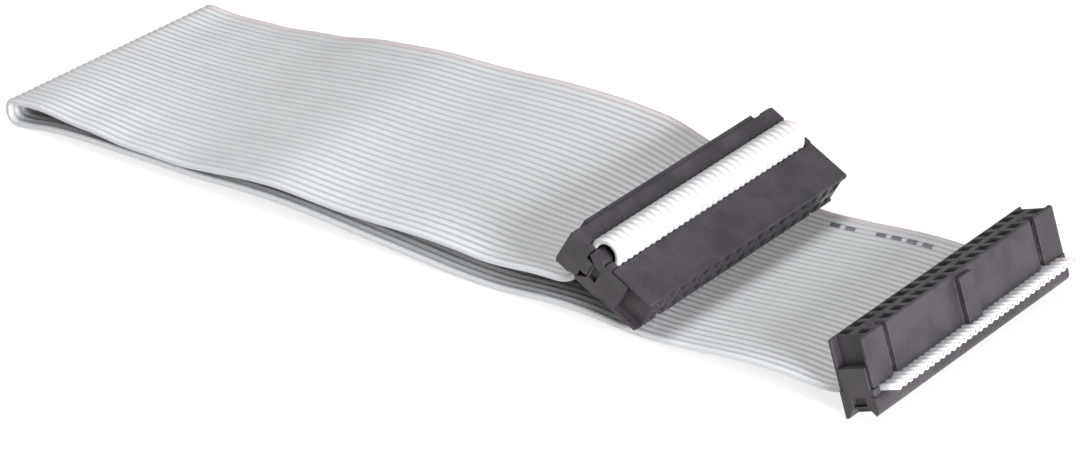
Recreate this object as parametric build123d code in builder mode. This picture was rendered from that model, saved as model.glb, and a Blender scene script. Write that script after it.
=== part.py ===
from build123d import *
import math
import os

os.makedirs("parts", exist_ok=True)

# A 34-way grey flat cable, folded back on itself, with a 2 x 17 insulation-displacement
# socket at each end. X runs along the cable from the fold to the lower socket, Y across it,
# Z is up, and the cable lies on Z = 0. Millimetres.

# Flat cable
ways = 34
wire_pitch = 1.27
insulation_thickness = 0.9
wire_diameter = 0.38
ribbon_half_width = ((ways - 1) * wire_pitch + insulation_thickness) / 2

# Socket housing. Every socket part is drawn on its socket's mating plane: the plane's x runs
# across the two rows of holes, its y along them, and its normal points out of the socket.
columns = 17
pin_pitch = 2.54
housing_width = 4.8
housing_length = 45.4
housing_height = 6.3
edge_chamfer = 0.2

# Pin holes and the slots for the contact tines below them
mouth_width = 1.6
mouth_depth = 0.6
hole_width = 1.15
hole_depth = 5.6
tine_slot_length = 1.3
tine_slot_width = 0.4

# Key ridge and orientation grooves on one long side of the housing
key_width = 3.0
key_height = 0.8
key_drop = 0.6
groove_spacing = 35.4
groove_width = 1.1
groove_depth = 0.7

# Recess in each end of the housing, for the cover's latch arm
recess_width = 4.0
recess_depth = 1.2

# Cover
nest_gap = 1.0
cover_width = 4.8
cover_length = 45.8
cover_thickness = 2.6
cover_edge_radius = 0.9
tip_groove_length = 43.2
tip_groove_width = 0.6
tip_groove_depth = 0.9
latch_top = -3.7
latch_width = 3.8
latch_thickness = 1.3
latch_gap = 0.1
hook_notch_depth = 1.2
hook_notch_top = 2.2
hook_notch_bottom = 4.0
hook_notch_length = 2.2
end_pocket_width = 1.9
end_pocket_height = 1.1
end_pocket_depth = 0.6
end_pocket_level = 7.95

# Strain relief
relief_width = 4.8
relief_length = 45.6
relief_thickness = 2.4
relief_crown_length = 38.0
relief_crown_height = 0.45
relief_dip_length = 1.6
relief_dip_depth = 0.2
relief_chamfer = 0.3
hook_shoulder_width = 4.4
hook_width = 2.0
hook_length = 1.2
hook_top = -8.8

# Contacts: two leaves in each hole, and a forked tine that holds one wire
leaf_thickness = 0.2
leaf_width = 0.9
leaf_gap = 0.6
leaf_drop = 1.0
tine_width = 1.1
tine_thickness = 0.3
tine_tip_level = -7.7
contact_floor = 0.4
fork_gap = 0.4
fork_depth = 1.35

# Levels below a mating plane
cover_level = -(housing_height + nest_gap)
back_level = cover_level - cover_thickness
relief_level = back_level - nest_gap
mouth_taper = math.degrees(math.atan((mouth_width - hole_width) / 2 / mouth_depth))

# The sockets' mating planes
lower_tilt = 20.6
lower_x = 59.0
lower_z = 10.15
upper_tilt = 26.9
upper_x = 31.61
upper_z = 3.96
lower_cosine = math.cos(math.radians(lower_tilt))
lower_sine = math.sin(math.radians(lower_tilt))
upper_cosine = math.cos(math.radians(upper_tilt))
upper_sine = math.sin(math.radians(upper_tilt))
lower_mate = Plane(
    origin=(lower_x, 0, lower_z),
    x_dir=(lower_cosine, 0, lower_sine),
    z_dir=(-lower_sine, 0, lower_cosine),
)
upper_mate = Plane(
    origin=(upper_x, 0, upper_z),
    x_dir=(upper_sine, 0, upper_cosine),
    z_dir=(upper_cosine, 0, -upper_sine),
)

# Each socket: its name, its mating plane, and the side of the plane that the key is on
sockets = [("lower", lower_mate, 1), ("upper", upper_mate, -1)]

# Route of the cable's middle line, as (x, z) points, from the trimmed end in the upper socket
# to the trimmed end that stands out of the lower one
route = [
    (24.01, 4.00),
    (25.08, 6.15),
    (26.10, 8.10),
    (26.79, 9.49),
    (26.32, 10.90),
    (24.99, 11.58),
    (23.58, 11.11),
    (22.82, 9.65),
    (21.76, 7.50),
    (20.73, 5.55),
    (19.34, 4.62),
    (17.15, 4.42),
    (13.65, 4.70),
    (7.85, 5.30),
    (-0.15, 5.75),
    (-8.15, 5.45),
    (-16.65, 5.00),
    (-25.15, 5.15),
    (-34.15, 4.00),
    (-43.65, 2.75),
    (-53.15, 2.45),
    (-59.35, 2.55),
    (-62.75, 2.56),
    (-64.47, 2.53),
    (-65.08, 1.93),
    (-65.08, 1.06),
    (-64.47, 0.45),
    (-62.55, 0.45),
    (-59.15, 0.80),
    (-52.65, 1.20),
    (-45.65, 1.10),
    (-37.15, 1.50),
    (-28.15, 2.10),
    (-20.15, 2.10),
    (-11.15, 1.45),
    (-2.15, 0.90),
    (4.35, 0.45),
    (10.35, 0.45),
    (15.85, 1.10),
    (21.85, 1.40),
    (29.85, 0.72),
    (36.85, 1.25),
    (43.85, 2.15),
    (50.35, 2.45),
    (54.35, 2.15),
    (57.05, 2.15),
    (59.52, 3.07),
    (62.51, 4.22),
    (65.89, 5.47),
]


def mate_axis(mate):
    """The line out of a socket's mating face, which sorts its faces by level."""
    return Axis(mate.origin, mate.z_dir)


def corner_radii(points):
    """The largest arc at each corner that leaves a tenth of the shorter run straight."""
    radii = []
    for before, corner, after in zip(points, points[1:], points[2:]):
        arriving = Vector(*corner) - Vector(*before)
        leaving = Vector(*after) - Vector(*corner)
        half_turn = math.radians(arriving.get_angle(leaving)) / 2
        shorter_run = min(arriving.length, leaving.length)
        radii.append(0.45 * shorter_run / math.tan(half_turn))
    return radii


route_points = [(x, 0, z) for x, z in route]
route_radii = corner_radii(route_points)
with BuildLine() as ribbon_line:
    FilletPolyline(*route_points, radius=route_radii)
ribbon_path = ribbon_line.wires()[0]
ribbon_start = Plane(origin=ribbon_path @ 0, x_dir=(0, 1, 0), z_dir=ribbon_path % 0)

# Insulation: a flat strip with round edges, as wide and as thick as the row of lobes on it
with BuildPart() as ribbon_insulation:
    with BuildSketch(ribbon_start) as ribbon_section:
        SlotOverall(2 * ribbon_half_width, insulation_thickness)
    sweep(path=ribbon_path)
ribbon_insulation.part.label = "ribbon_insulation"
export_step(ribbon_insulation.part, "parts/ribbon_insulation.step")

section_area = ribbon_section.sketch.area
print("corner radii, mm:", [round(radius, 1) for radius in route_radii])
print("middle line, mm:", round(ribbon_path.length, 1))
print(
    "insulation volume, mm3:", round(ribbon_insulation.part.volume, 1),
    "section times length:", round(section_area * ribbon_path.length, 1),
)

# Wires, numbered from the far, striped edge
for way in range(ways):
    wire_y = ((ways - 1) / 2 - way) * wire_pitch
    with BuildPart() as conductor:
        with BuildLine() as wire_line:
            FilletPolyline(*[(x, wire_y, z) for x, y, z in route_points], radius=route_radii)
        with BuildSketch(Plane(origin=wire_line.line @ 0, z_dir=wire_line.line % 0)):
            Circle(wire_diameter / 2)
        sweep(path=wire_line.wires()[0])
    conductor.part.label = f"conductor_{way + 1:02d}"
    export_step(conductor.part, f"parts/conductor_{way + 1:02d}.step")

for name, mate, key_side in sockets:
    # Its x runs across the socket like the mating plane's, and its y runs down into the socket
    across = Plane(origin=mate.origin, x_dir=mate.x_dir, z_dir=mate.y_dir)

    # Housing: one block with the pin holes, the key ridge, two grooves and the end recesses
    with BuildPart() as housing:
        with BuildSketch(mate):
            Rectangle(housing_width, housing_length)
        extrude(amount=-housing_height)
        chamfer(housing.faces().sort_by(mate_axis(mate))[-1].edges(), edge_chamfer)
        with BuildSketch(mate.offset(-key_drop)):
            with Locations((key_side * housing_width / 2, 0)):
                Rectangle(2 * key_height, key_width)
        extrude(amount=key_drop - housing_height)
        with BuildSketch(mate):
            with Locations((key_side * housing_width / 2, 0)):
                with GridLocations(0, groove_spacing, 1, 2):
                    Rectangle(2 * groove_depth, groove_width)
        extrude(amount=-housing_height, mode=Mode.SUBTRACT)
        with BuildSketch(mate):
            with GridLocations(0, housing_length, 1, 2):
                Rectangle(recess_width, 2 * recess_depth)
        extrude(amount=-housing_height, mode=Mode.SUBTRACT)
        with BuildSketch(mate.offset(-mouth_depth)):
            with GridLocations(pin_pitch, pin_pitch, 2, columns):
                Rectangle(hole_width, hole_width)
        extrude(amount=mouth_depth, taper=-mouth_taper, mode=Mode.SUBTRACT)
        with BuildSketch(mate.offset(-mouth_depth)):
            with GridLocations(pin_pitch, pin_pitch, 2, columns):
                Rectangle(hole_width, hole_width)
        extrude(amount=mouth_depth - hole_depth, mode=Mode.SUBTRACT)
        with BuildSketch(mate.offset(-hole_depth)):
            for side in (-1, 1):
                with Locations((side * pin_pitch / 2, side * wire_pitch / 2)):
                    with GridLocations(0, pin_pitch, 1, columns):
                        Rectangle(tine_slot_width, tine_slot_length)
        extrude(amount=hole_depth - housing_height, mode=Mode.SUBTRACT)
    housing.part.label = f"{name}_socket_housing"
    export_step(housing.part, f"parts/{name}_socket_housing.step")

    # Contacts: one node for each row, of one separate contact under each hole
    for row, side in (("a", -1), ("b", 1)):
        row_x = side * pin_pitch / 2
        with BuildPart() as contacts:
            with BuildSketch(mate.offset(-leaf_drop)):
                with Locations((row_x, 0)):
                    with GridLocations(0, pin_pitch, 1, columns):
                        with GridLocations(0, leaf_gap + leaf_thickness, 1, 2):
                            Rectangle(leaf_width, leaf_thickness)
            extrude(amount=leaf_drop - hole_depth)
            with BuildSketch(mate.offset(-hole_depth)):
                with Locations((row_x, 0)):
                    with GridLocations(0, pin_pitch, 1, columns):
                        Rectangle(leaf_width, leaf_gap + 2 * leaf_thickness)
            extrude(amount=contact_floor)
            with BuildSketch(mate.offset(-hole_depth)):
                with Locations((row_x, side * wire_pitch / 2)):
                    with GridLocations(0, pin_pitch, 1, columns):
                        Rectangle(tine_thickness, tine_width)
            extrude(amount=hole_depth + tine_tip_level)
            with BuildSketch(mate.offset(tine_tip_level)):
                with Locations((row_x, side * wire_pitch / 2)):
                    with GridLocations(0, pin_pitch, 1, columns):
                        Rectangle(2 * tine_thickness, fork_gap)
            extrude(amount=fork_depth, mode=Mode.SUBTRACT)
        contacts.part.label = f"{name}_contacts_row_{row}"
        export_step(contacts.part, f"parts/{name}_contacts_row_{row}.step")

    # Cover: a bar under the cable, with a latch arm up into each end recess of the housing, a
    # groove for each row of tine tips, and a notch in each end for the strain relief's hooks
    with BuildPart() as cover:
        with BuildSketch(mate.offset(cover_level)):
            Rectangle(cover_width, cover_length)
        extrude(amount=-cover_thickness)
        long_edges = cover.edges().filter_by(Axis.Y).group_by(Axis(mate.origin, mate.x_dir))
        fillet(long_edges[-1], cover_edge_radius)
        with BuildSketch(mate.offset(cover_level)):
            with GridLocations(0, cover_length - latch_thickness, 1, 2):
                Rectangle(cover_width, latch_thickness)
        extrude(amount=nest_gap - latch_gap)
        with BuildSketch(mate.offset(cover_level)):
            with GridLocations(0, cover_length - latch_thickness, 1, 2):
                Rectangle(latch_width, latch_thickness)
        extrude(amount=latch_top - cover_level)
        with BuildSketch(mate.offset(cover_level)):
            with GridLocations(pin_pitch, 0, 2, 1):
                Rectangle(tip_groove_width, tip_groove_length)
        extrude(amount=-tip_groove_depth, mode=Mode.SUBTRACT)
        for end in (-1, 1):
            with BuildSketch(across.offset(end * (cover_length - hook_notch_length) / 2)):
                with BuildLine():
                    Polyline(
                        (-hook_notch_bottom / 2, -back_level),
                        (-hook_notch_top / 2, -back_level - hook_notch_depth),
                        (hook_notch_top / 2, -back_level - hook_notch_depth),
                        (hook_notch_bottom / 2, -back_level),
                        close=True,
                    )
                make_face()
            extrude(amount=hook_notch_length / 2, both=True, mode=Mode.SUBTRACT)
            with BuildSketch(across.offset(end * cover_length / 2)):
                with Locations((0, end_pocket_level)):
                    Rectangle(end_pocket_width, end_pocket_height)
            extrude(amount=end_pocket_depth, both=True, mode=Mode.SUBTRACT)
    cover.part.label = f"{name}_socket_cover"
    export_step(cover.part, f"parts/{name}_socket_cover.step")

# Strain relief, on the upper socket only: a bar behind the cover, hooked into its end notches
with BuildPart() as strain_relief:
    with BuildSketch(upper_mate.offset(relief_level)):
        Rectangle(relief_width, relief_length)
    extrude(amount=-relief_thickness)
    relief_edges = strain_relief.faces().sort_by(mate_axis(upper_mate))[0].edges()
    chamfer(relief_edges, relief_chamfer)
    with BuildSketch(upper_mate.offset(relief_level - relief_thickness)):
        Rectangle(relief_width - 2 * relief_chamfer, relief_crown_length)
    extrude(amount=-relief_crown_height)
    with BuildSketch(upper_mate.offset(relief_level - relief_thickness)):
        with GridLocations(0, relief_crown_length + relief_dip_length, 1, 2):
            Rectangle(relief_width, relief_dip_length)
    extrude(amount=relief_dip_depth, mode=Mode.SUBTRACT)
    with BuildSketch(upper_mate.offset(relief_level)):
        with GridLocations(0, relief_length - hook_length, 1, 2):
            Rectangle(hook_shoulder_width, hook_length)
    extrude(amount=nest_gap)
    with BuildSketch(upper_mate.offset(relief_level)):
        with GridLocations(0, relief_length - hook_length, 1, 2):
            Rectangle(hook_width, hook_length)
    extrude(amount=hook_top - relief_level)
strain_relief.part.label = "upper_strain_relief"
export_step(strain_relief.part, "parts/upper_strain_relief.step")
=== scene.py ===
import math

import bpy
import numpy as np
from mathutils import Matrix, Vector


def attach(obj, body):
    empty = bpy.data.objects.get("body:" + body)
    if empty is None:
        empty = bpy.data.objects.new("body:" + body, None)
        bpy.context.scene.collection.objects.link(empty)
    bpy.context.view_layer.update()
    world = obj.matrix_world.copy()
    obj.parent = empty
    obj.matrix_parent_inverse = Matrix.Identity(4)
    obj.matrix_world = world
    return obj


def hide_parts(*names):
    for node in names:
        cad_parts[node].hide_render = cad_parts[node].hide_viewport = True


# A 34-way grey flat cable, folded back on itself, with a black two-row socket on each end.
# Metres, X along the cable from its fold, Y across it towards the striped edge, Z up.

# The middle line of the cable as (x, z), from the trimmed end in the upper socket
# round the fold to the trimmed end that stands out of the lower socket
routePoints = [
    (0.02401, 0.00400),
    (0.02508, 0.00615),
    (0.02610, 0.00810),
    (0.02679, 0.00949),
    (0.02632, 0.01090),
    (0.02499, 0.01158),
    (0.02358, 0.01111),
    (0.02282, 0.00965),
    (0.02176, 0.00750),
    (0.02073, 0.00555),
    (0.01934, 0.00462),
    (0.01715, 0.00442),
    (0.01365, 0.00470),
    (0.00785, 0.00530),
    (-0.00015, 0.00575),
    (-0.00815, 0.00545),
    (-0.01665, 0.00500),
    (-0.02515, 0.00515),
    (-0.03415, 0.00400),
    (-0.04365, 0.00275),
    (-0.05315, 0.00245),
    (-0.05935, 0.00255),
    (-0.06275, 0.00256),
    (-0.06447, 0.00253),
    (-0.06508, 0.00193),
    (-0.06508, 0.00106),
    (-0.06447, 0.00045),
    (-0.06255, 0.00045),
    (-0.05915, 0.00080),
    (-0.05265, 0.00120),
    (-0.04565, 0.00110),
    (-0.03715, 0.00150),
    (-0.02815, 0.00210),
    (-0.02015, 0.00210),
    (-0.01115, 0.00145),
    (-0.00215, 0.00090),
    (0.00435, 0.00045),
    (0.01035, 0.00045),
    (0.01585, 0.00110),
    (0.02185, 0.00140),
    (0.02985, 0.00072),
    (0.03685, 0.00125),
    (0.04385, 0.00215),
    (0.05035, 0.00245),
    (0.05435, 0.00215),
    (0.05705, 0.00215),
    (0.05952, 0.00307),
    (0.06251, 0.00422),
    (0.06589, 0.00547),
]

ribbon = {
    "ways": 34,
    "pitch": 0.00127,  # from one wire to the next
    "lobe": 0.00045,  # radius of one wire's insulation
    "web": 0.00021,  # half the thickness between two lobes
    "width": 0.0428,
    "length": 0.257,  # six widths, the shortest a cord can be declared; its line has 0.236
    "stepsPerRun": 4,
    "endInset": 0.00003,  # leaves the cut wires just proud of the insulation
    # The slight twist about the fold: how far the striped edge rises, at distances along the cable
    "twist": [
        (0.02, 0),
        (0.031, 0.0016),
        (0.045, 0.0016),
        (0.062, 0.001),
        (0.074, 0.001),
        (0.083, 0.0002),
        (0.091, -0.0006),
        (0.098, -0.00105),
        (0.1025, -0.0008),
        (0.1055, 0),
        (0.112, -0.00035),
        (0.125, -0.0004),
        (0.135, 0),
    ],
}

wire = {
    "radius": 0.00019,
    "sides": 6,
}

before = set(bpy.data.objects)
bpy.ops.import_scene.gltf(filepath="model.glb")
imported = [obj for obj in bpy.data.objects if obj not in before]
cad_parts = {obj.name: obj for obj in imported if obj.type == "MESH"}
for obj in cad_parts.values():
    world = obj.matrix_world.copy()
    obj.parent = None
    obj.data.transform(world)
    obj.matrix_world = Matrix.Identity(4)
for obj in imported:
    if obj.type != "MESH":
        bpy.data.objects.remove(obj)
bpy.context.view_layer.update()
scene = bpy.context.scene


def newMaterial(name):
    material = bpy.data.materials.new(name)
    material.use_nodes = True
    material.node_tree.nodes.clear()
    return material, material.node_tree.nodes, material.node_tree.links


def mathNode(nodes, links, operation, first, second=None, third=None):
    node = nodes.new("ShaderNodeMath")
    node.operation = operation
    for socket, value in zip(node.inputs, (first, second, third)):
        if value is None:
            continue
        if isinstance(value, (int, float)):
            socket.default_value = value
        else:
            links.new(value, socket)
    return node.outputs[0]


def mixColour(nodes, links, amount, first, second):
    node = nodes.new("ShaderNodeMix")
    node.data_type = "RGBA"
    for socket, value in ((node.inputs[0], amount), (node.inputs[6], first), (node.inputs[7], second)):
        if isinstance(value, (int, float)):
            socket.default_value = value
        elif isinstance(value, tuple):
            socket.default_value = value + (1.0,)
        else:
            links.new(value, socket)
    return node.outputs[2]


def noise(nodes, links, vector, scale, detail=3.0, roughness=0.5):
    node = nodes.new("ShaderNodeTexNoise")
    node.inputs["Scale"].default_value = scale
    node.inputs["Detail"].default_value = detail
    node.inputs["Roughness"].default_value = roughness
    links.new(vector, node.inputs["Vector"])
    return node.outputs["Fac"]


def ramp(nodes, links, value, low, high, outLow=0.0, outHigh=1.0):
    node = nodes.new("ShaderNodeMapRange")
    node.interpolation_type = "SMOOTHSTEP"
    links.new(value, node.inputs["Value"])
    for name, number in (("From Min", low), ("From Max", high), ("To Min", outLow), ("To Max", outHigh)):
        node.inputs[name].default_value = number
    return node.outputs[0]


insulationLook = {
    "grey": (0.415, 0.425, 0.435),
    "shade": (0.34, 0.345, 0.355),
    "cloudScale": 60.0,  # waves per metre
    "cloudShare": 0.35,
    "lobeShare": 0.25,  # how much one lobe may differ from the next
    # Painted shade in the valleys between the lobes: its colour, its reach from a lobe's middle and its
    # strength
    "valleyShadeColour": (0.24, 0.24, 0.25),
    "valleyShadeSpan": (0.30, 0.48),  # from a lobe's middle, in lobes
    "valleyShadeShare": 0.22,
    "stripe": (0.42, 0.36, 0.365),
    "stripeWear": (0.35, 0.85),  # least and most ink left on it
    "ink": (0.05, 0.05, 0.065),
    "inkCover": 0.9,
    "roughness": 0.42,
    "softness": 0.12,
    "softDepth": 0.0006,
    "grain": 2600.0,  # waves per metre
    "grainStrength": 0.12,
    "grainHeight": 0.00005,
}

# The printed dashes, placed in metres along the cable and in lobes across it
dashes = {
    "middle": 0.2123,
    "halfLength": 0.0099,
    "period": 0.0022,
    "share": 0.66,
    "groupPeriod": 0.011,  # five dash periods, of which one stays blank
    "groupShare": 0.8,
    "lobe": 2.5,
    "halfHeight": 0.45,
}


def makeInsulation():
    # Grey plastic with painted shade in the valleys between the lobes, and uneven from lobe to lobe.
    # UV u is the distance along the cable in metres, v the number of the lobe from the striped edge.
    material, nodes, links = newMaterial("greyInsulation")
    uv = nodes.new("ShaderNodeUVMap")
    uv.uv_map = "along"
    split = nodes.new("ShaderNodeSeparateXYZ")
    links.new(uv.outputs[0], split.inputs[0])
    along, lobe = split.outputs[0], split.outputs[1]
    objectSpace = nodes.new("ShaderNodeTexCoord").outputs["Object"]

    # Painted shade in the valleys between the lobes, by the distance from a lobe's middle
    acrossLobe = mathNode(nodes, links, "FRACT", lobe)
    fromMiddle = mathNode(nodes, links, "ABSOLUTE", mathNode(nodes, links, "SUBTRACT", acrossLobe, 0.5))
    inValleyShade = ramp(nodes, links, fromMiddle, *insulationLook["valleyShadeSpan"])
    perLobe = nodes.new("ShaderNodeTexWhiteNoise")
    perLobe.noise_dimensions = "1D"
    links.new(mathNode(nodes, links, "FLOOR", lobe), perLobe.inputs["W"])
    cloud = noise(nodes, links, objectSpace, insulationLook["cloudScale"])
    uneven = mathNode(nodes, links, "MULTIPLY", perLobe.outputs["Value"], insulationLook["lobeShare"])
    uneven = mathNode(nodes, links, "MULTIPLY_ADD", cloud, insulationLook["cloudShare"], uneven)
    colour = mixColour(nodes, links, uneven, insulationLook["grey"], insulationLook["shade"])
    # Mix in the painted valley shade
    inValleyShade = mathNode(nodes, links, "MULTIPLY", inValleyShade, insulationLook["valleyShadeShare"])
    colour = mixColour(nodes, links, inValleyShade, colour, insulationLook["valleyShadeColour"])

    # The first wire's lobe is printed pale red, worn thin in places
    onStripe = mathNode(nodes, links, "LESS_THAN", lobe, 1.0)
    wear = noise(nodes, links, objectSpace, 900.0)
    worn = ramp(nodes, links, wear, 0.35, 0.6, *insulationLook["stripeWear"])
    onStripe = mathNode(nodes, links, "MULTIPLY", onStripe, worn)
    colour = mixColour(nodes, links, onStripe, colour, insulationLook["stripe"])

    # A row of plain printed dashes beside the stripe, in a short stretch before the lower socket
    inRow = mathNode(nodes, links, "COMPARE", lobe, dashes["lobe"], dashes["halfHeight"])
    inStretch = mathNode(nodes, links, "COMPARE", along, dashes["middle"], dashes["halfLength"])
    phase = mathNode(nodes, links, "FRACT", mathNode(nodes, links, "DIVIDE", along, dashes["period"]))
    inDash = mathNode(nodes, links, "LESS_THAN", phase, dashes["share"])
    phase = mathNode(nodes, links, "FRACT", mathNode(nodes, links, "DIVIDE", along, dashes["groupPeriod"]))
    inGroup = mathNode(nodes, links, "LESS_THAN", phase, dashes["groupShare"])
    ink = insulationLook["inkCover"]
    for gate in (inRow, inStretch, inDash, inGroup):
        ink = mathNode(nodes, links, "MULTIPLY", gate, ink)
    colour = mixColour(nodes, links, ink, colour, insulationLook["ink"])

    shader = nodes.new("ShaderNodeBsdfPrincipled")
    links.new(colour, shader.inputs["Base Color"])
    shader.inputs["Roughness"].default_value = insulationLook["roughness"]
    shader.inputs["Subsurface Weight"].default_value = insulationLook["softness"]
    shader.inputs["Subsurface Radius"].default_value = (insulationLook["softDepth"],) * 3
    shader.inputs["Subsurface Scale"].default_value = 1.0
    bump = nodes.new("ShaderNodeBump")
    bump.inputs["Strength"].default_value = insulationLook["grainStrength"]
    bump.inputs["Distance"].default_value = insulationLook["grainHeight"]
    links.new(noise(nodes, links, objectSpace, insulationLook["grain"]), bump.inputs["Height"])
    links.new(bump.outputs[0], shader.inputs["Normal"])
    links.new(shader.outputs[0], nodes.new("ShaderNodeOutputMaterial").inputs[0])
    return material


plasticLook = {
    "dark": (0.019, 0.0165, 0.020),
    "light": (0.030, 0.026, 0.031),
    "tint": (0.032, 0.023, 0.029),
    "tintShare": 0.5,
    "cloudScale": 220.0,  # all scales in waves per metre
    "tintScale": 90.0,
    "glossScale": 1400.0,
    "roughness": (0.38, 0.58),
    "edgeRadius": 0.00012,
    "grain": 4200.0,  # moulded texture
    "grainStrength": 0.25,
    "grainHeight": 0.00002,
}


def makePlastic():
    # Black moulded plastic with a fine spark-eroded grain and faint warm and cool clouds
    material, nodes, links = newMaterial("blackPlastic")
    objectSpace = nodes.new("ShaderNodeTexCoord").outputs["Object"]
    cloud = ramp(nodes, links, noise(nodes, links, objectSpace, plasticLook["cloudScale"]), 0.35, 0.65)
    colour = mixColour(nodes, links, cloud, plasticLook["dark"], plasticLook["light"])
    tint = noise(nodes, links, objectSpace, plasticLook["tintScale"])
    tint = ramp(nodes, links, tint, 0.45, 0.7, 0.0, plasticLook["tintShare"])
    colour = mixColour(nodes, links, tint, colour, plasticLook["tint"])
    shader = nodes.new("ShaderNodeBsdfPrincipled")
    links.new(colour, shader.inputs["Base Color"])
    gloss = noise(nodes, links, objectSpace, plasticLook["glossScale"])
    links.new(ramp(nodes, links, gloss, 0.3, 0.7, *plasticLook["roughness"]), shader.inputs["Roughness"])
    edge = nodes.new("ShaderNodeBevel")
    edge.samples = 4
    edge.inputs["Radius"].default_value = plasticLook["edgeRadius"]
    bump = nodes.new("ShaderNodeBump")
    bump.inputs["Strength"].default_value = plasticLook["grainStrength"]
    bump.inputs["Distance"].default_value = plasticLook["grainHeight"]
    links.new(noise(nodes, links, objectSpace, plasticLook["grain"], 2.0), bump.inputs["Height"])
    links.new(edge.outputs[0], bump.inputs["Normal"])
    links.new(bump.outputs[0], shader.inputs["Normal"])
    links.new(shader.outputs[0], nodes.new("ShaderNodeOutputMaterial").inputs[0])
    return material


metalLook = {
    "wire": (0.70, 0.58, 0.48),  # tinned copper, cut through
    "wireRoughness": 0.28,
    "contact": (0.62, 0.60, 0.55),
    "contactRoughness": 0.3,
    "marks": 5000.0,  # drawing marks, in waves per metre
    "marksTone": 0.75,
    "marksRoughness": 0.15,
}


def makeMetal(name, colour, roughness):
    # Bare metal with fine drawing marks in its tone and its roughness
    material, nodes, links = newMaterial(name)
    objectSpace = nodes.new("ShaderNodeTexCoord").outputs["Object"]
    marks = noise(nodes, links, objectSpace, metalLook["marks"], 2.0)
    shader = nodes.new("ShaderNodeBsdfPrincipled")
    shader.inputs["Metallic"].default_value = 1.0
    tone = tuple(channel * metalLook["marksTone"] for channel in colour)
    links.new(mixColour(nodes, links, marks, colour, tone), shader.inputs["Base Color"])
    roughest = roughness + metalLook["marksRoughness"]
    links.new(ramp(nodes, links, marks, 0.3, 0.7, roughness, roughest), shader.inputs["Roughness"])
    links.new(shader.outputs[0], nodes.new("ShaderNodeOutputMaterial").inputs[0])
    return material


insulationMaterial = makeInsulation()
plasticMaterial = makePlastic()
wireMaterial = makeMetal("tinnedCopper", metalLook["wire"], metalLook["wireRoughness"])
contactMaterial = makeMetal("tinPlate", metalLook["contact"], metalLook["contactRoughness"])
print("materials made")

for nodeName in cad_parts:
    if nodeName == "ribbon_insulation" or nodeName.startswith("conductor"):
        continue
    nodeObject = bpy.data.objects[nodeName]
    finish = contactMaterial if "contacts" in nodeName else plasticMaterial
    nodeObject.data.materials.clear()
    nodeObject.data.materials.append(finish)


def smoothLine(points):
    # The route as a NURBS curve of order 3, read back as an array of points on it
    curveData = bpy.data.curves.new("cableLine", "CURVE")
    curveData.dimensions = "3D"
    curveData.resolution_u = ribbon["stepsPerRun"]
    spline = curveData.splines.new("NURBS")
    spline.points.add(len(points) - 1)
    for point, (x, z) in zip(spline.points, points):
        point.co = (x, 0.0, z, 1.0)
    spline.order_u = 3
    spline.use_endpoint_u = True
    curveObject = bpy.data.objects.new("cableLine", curveData)
    mesh = bpy.data.meshes.new_from_object(curveObject)
    line = np.empty(len(mesh.vertices) * 3)
    mesh.vertices.foreach_get("co", line)
    bpy.data.objects.remove(curveObject)
    bpy.data.curves.remove(curveData)
    bpy.data.meshes.remove(mesh)
    return line.reshape(-1, 3)


def lobedSection():
    # Half thickness h(y) across the cable: each lobe is a circle of radius r about its wire, so
    # h = sqrt(r^2 - d^2) at a distance d from the wire, and never thinner than the web. The
    # outline runs along the top from the striped edge and back along the bottom.
    radius, web, pitch, ways = ribbon["lobe"], ribbon["web"], ribbon["pitch"], ribbon["ways"]
    offsets = np.array([-0.35, -0.21, 0.0, 0.21, 0.35]) * pitch
    wires = ((ways - 1) / 2 - np.arange(ways)) * pitch
    across = (wires[:, None] - offsets[None, :]).ravel()
    away = np.tile(np.abs(offsets), ways)
    half = np.maximum(np.sqrt(np.maximum(radius**2 - away**2, 0.0)), web)
    lobes = np.repeat(np.arange(ways), len(offsets)) + np.tile(offsets / pitch + 0.5, ways)
    edge = ribbon["width"] / 2
    y = np.concatenate([[edge], across, [-edge], across[::-1]])
    h = np.concatenate([[0.0], half, [0.0], -half[::-1]])
    v = np.concatenate([[0.02], lobes, [ways - 0.02], lobes[::-1]])
    return y, h, v


def twistRise(travelled):
    # Rise of the striped edge: between two stated places it goes over from one value to the
    # next by the smooth step 3t^2 - 2t^3
    places, rises = np.array(ribbon["twist"]).T
    after = np.clip(np.searchsorted(places, travelled), 1, len(places) - 1)
    share = np.clip((travelled - places[after - 1]) / (places[after] - places[after - 1]), 0.0, 1.0)
    share = share * share * (3.0 - 2.0 * share)
    return rises[after - 1] + (rises[after] - rises[after - 1]) * share


def carrySection(line, y, h):
    # A section carried along the line: point(i, j) = line(i) + normal(i) * h(j) + Y * y(j), and
    # Z * rise(i) * y(j) / half width for the twist. The normal is the line's direction turned a
    # quarter turn in the XZ plane.
    tangent = np.gradient(line, axis=0)
    tangent /= np.linalg.norm(tangent, axis=1)[:, None]
    normal = np.stack([-tangent[:, 2], np.zeros(len(line)), tangent[:, 0]], axis=1)
    travelled = np.concatenate([[0.0], np.cumsum(np.linalg.norm(np.diff(line, axis=0), axis=1))])
    points = line[:, None, :] + normal[:, None, :] * h[None, :, None]
    points[:, :, 1] += y[None, :]
    points[:, :, 2] += twistRise(travelled)[:, None] * y[None, :] / (ribbon["width"] / 2)
    return points, travelled


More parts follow.
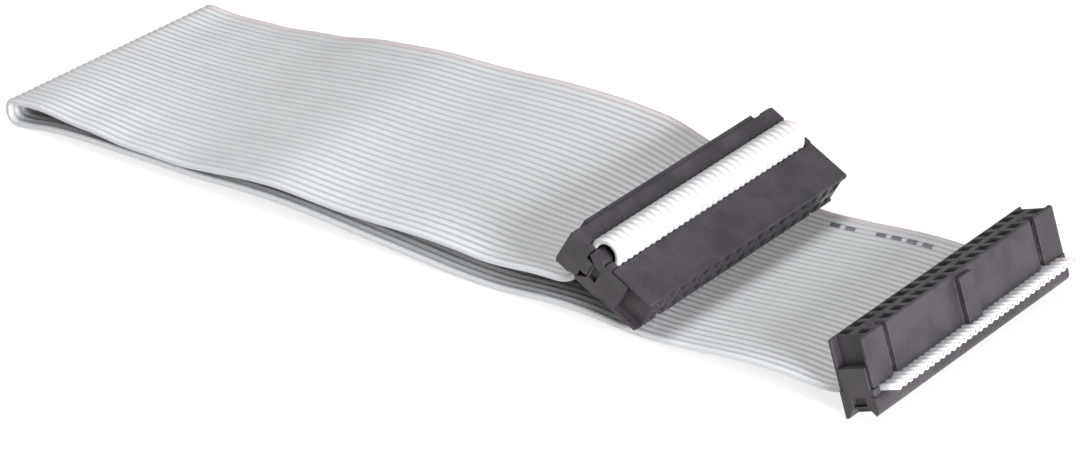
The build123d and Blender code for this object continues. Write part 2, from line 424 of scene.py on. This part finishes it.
def closedTube(name, points, material):
    # A mesh over a grid of points, round in its second direction, with a flat cap on each end
    rows, columns = points.shape[:2]
    corner = np.arange(rows - 1)[:, None] * columns + np.arange(columns)[None, :]
    beside = np.arange(rows - 1)[:, None] * columns + (np.arange(columns) + 1)[None, :] % columns
    faces = np.stack([corner, corner + columns, beside + columns, beside], axis=-1).reshape(-1, 4)
    caps = [list(range(columns)), list(range((rows - 1) * columns, rows * columns))[::-1]]
    mesh = bpy.data.meshes.new(name)
    mesh.from_pydata(points.reshape(-1, 3), [], faces.tolist() + caps)
    mesh.update()
    smooth = np.ones(len(mesh.polygons), dtype=bool)
    smooth[-2:] = False
    mesh.polygons.foreach_set("use_smooth", smooth)
    mesh.materials.append(material)
    tube = bpy.data.objects.new(name, mesh)
    scene.collection.objects.link(tube)
    return tube


def trimEnds(line, inset):
    # Moves the two end points along the line's own first and last direction
    line = line.copy()
    for end, inner in ((0, 1), (-1, -2)):
        inward = line[inner] - line[end]
        line[end] += inward / np.linalg.norm(inward) * inset
    return line


def buildRibbon(line):
    y, h, v = lobedSection()
    points, travelled = carrySection(trimEnds(line, ribbon["endInset"]), y, h)
    skin = closedTube("ribbonSkin", points, insulationMaterial)
    mesh = skin.data
    mesh.flip_normals()  # the section's outline runs the other way round from a wire's
    rows, columns = points.shape[:2]
    vertexU = np.repeat(travelled, columns)
    vertexV = np.tile(v, rows)
    loopVertex = np.empty(len(mesh.loops), dtype=np.int32)
    mesh.loops.foreach_get("vertex_index", loopVertex)
    layer = mesh.uv_layers.new(name="along")
    layer.data.foreach_set("uv", np.stack([vertexU[loopVertex], vertexV[loopVertex]], axis=1).ravel())
    return skin


def buildWire(line, number):
    # A round bar on the same twisted line: y and h go round a circle about the wire's place
    turn = -np.arange(wire["sides"]) / wire["sides"] * 2 * math.pi
    place = ((ribbon["ways"] + 1) / 2 - number) * ribbon["pitch"]
    y = place + wire["radius"] * np.cos(turn)
    points, _ = carrySection(line, y, wire["radius"] * np.sin(turn))
    return closedTube(f"wire{number:02d}", points, wireMaterial)


line = smoothLine(routePoints)
ribbonSkin = buildRibbon(line)
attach(ribbonSkin, "root")
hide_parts("ribbon_insulation")
for number in range(1, ribbon["ways"] + 1):
    wireObject = buildWire(line, number)
    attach(wireObject, "root")
    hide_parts(f"conductor_{number:02d}")
print("cable made, steps along it:", len(line))


stage = {
    "floorGrey": 0.9,
    "floorGlow": 0.8,  # share of plain white in what the camera sees of the floor
    "floorHalfSize": 3.0,
    "fill": 0.40,  # the room's light on everything that isn't the picture's background
}


def makeFloor():
    # Pale matte floor: what the camera and reflections see is lifted to near white, and the
    # cable's shadow stays on it
    material, nodes, links = newMaterial("paleFloor")
    path = nodes.new("ShaderNodeLightPath")
    seen = mathNode(nodes, links, "MAXIMUM", path.outputs["Is Camera Ray"], path.outputs["Is Glossy Ray"])
    seen = mathNode(nodes, links, "MAXIMUM", seen, path.outputs["Is Transmission Ray"])
    diffuse = nodes.new("ShaderNodeBsdfDiffuse")
    diffuse.inputs["Color"].default_value = (stage["floorGrey"],) * 3 + (1.0,)
    glow = nodes.new("ShaderNodeEmission")
    glow.inputs["Color"].default_value = (1.0, 1.0, 1.0, 1.0)
    mix = nodes.new("ShaderNodeMixShader")
    links.new(mathNode(nodes, links, "MULTIPLY", seen, stage["floorGlow"]), mix.inputs[0])
    links.new(diffuse.outputs[0], mix.inputs[1])
    links.new(glow.outputs[0], mix.inputs[2])
    links.new(mix.outputs[0], nodes.new("ShaderNodeOutputMaterial").inputs[0])
    half = stage["floorHalfSize"]
    corners = [(-half, -half, 0), (half, -half, 0), (half, half, 0), (-half, half, 0)]
    mesh = bpy.data.meshes.new("floor")
    mesh.from_pydata(corners, [], [(0, 1, 2, 3)])
    mesh.materials.append(material)
    floor = bpy.data.objects.new("floor", mesh)
    scene.collection.objects.link(floor)


def makeWorld():
    # White behind the picture, and a soft fill for everything else
    world = bpy.data.worlds.new("studio")
    scene.world = world
    world.use_nodes = True
    nodes, links = world.node_tree.nodes, world.node_tree.links
    background = nodes["Background"]
    background.inputs["Color"].default_value = (1.0, 1.0, 1.0, 1.0)
    seen = nodes.new("ShaderNodeLightPath").outputs["Is Camera Ray"]
    strength = mathNode(nodes, links, "MULTIPLY_ADD", seen, 1.0 - stage["fill"], stage["fill"])
    links.new(strength, background.inputs["Strength"])


lamps = {
    "top": {"place": (-0.16, -0.03, 0.58), "size": 0.30, "power": 2.8},
    "right": {"place": (0.57, -0.20, 0.15), "size": 0.28, "power": 10.0},
}


def addLamp(name):
    # A square soft lamp that points at the origin
    settings = lamps[name]
    light = bpy.data.lights.new(name + "Lamp", "AREA")
    light.size = settings["size"]
    light.energy = settings["power"]
    lamp = bpy.data.objects.new(name + "Lamp", light)
    lamp.location = settings["place"]
    lamp.rotation_euler = Vector(settings["place"]).to_track_quat("Z", "Y").to_euler()
    scene.collection.objects.link(lamp)


cameraView = {
    "target": (0.0092, -0.0112, 0.0044),
    "distance": 0.737,
    "azimuth": 32.1,  # degrees, as are the next two
    "elevation": 26.2,
    "roll": -3.1,
    "lens": 201.0,
    "nearest": 0.01,  # anything closer is cut off
}


def addCamera():
    # The camera stands on a sphere about its target and leans a little to one side
    azimuth, elevation, roll = (math.radians(cameraView[key]) for key in ("azimuth", "elevation", "roll"))
    level = Vector((math.cos(azimuth), math.sin(azimuth), 0.0))
    backward = Vector((
        math.cos(elevation) * math.sin(azimuth),
        -math.cos(elevation) * math.cos(azimuth),
        math.sin(elevation),
    ))
    upright = backward.cross(level)
    right = level * math.cos(roll) - upright * math.sin(roll)
    up = upright * math.cos(roll) + level * math.sin(roll)
    turn = Matrix((right, up, backward)).transposed()
    data = bpy.data.cameras.new("camera")
    data.lens = cameraView["lens"]
    data.clip_start = cameraView["nearest"]
    camera = bpy.data.objects.new("camera", data)
    place = Vector(cameraView["target"]) + backward * cameraView["distance"]
    camera.matrix_world = Matrix.Translation(place) @ turn.to_4x4()
    scene.collection.objects.link(camera)
    scene.camera = camera


makeFloor()
makeWorld()
for lampName in lamps:
    addLamp(lampName)
addCamera()
scene.view_settings.view_transform = "Standard"
print("floor, light and camera made")
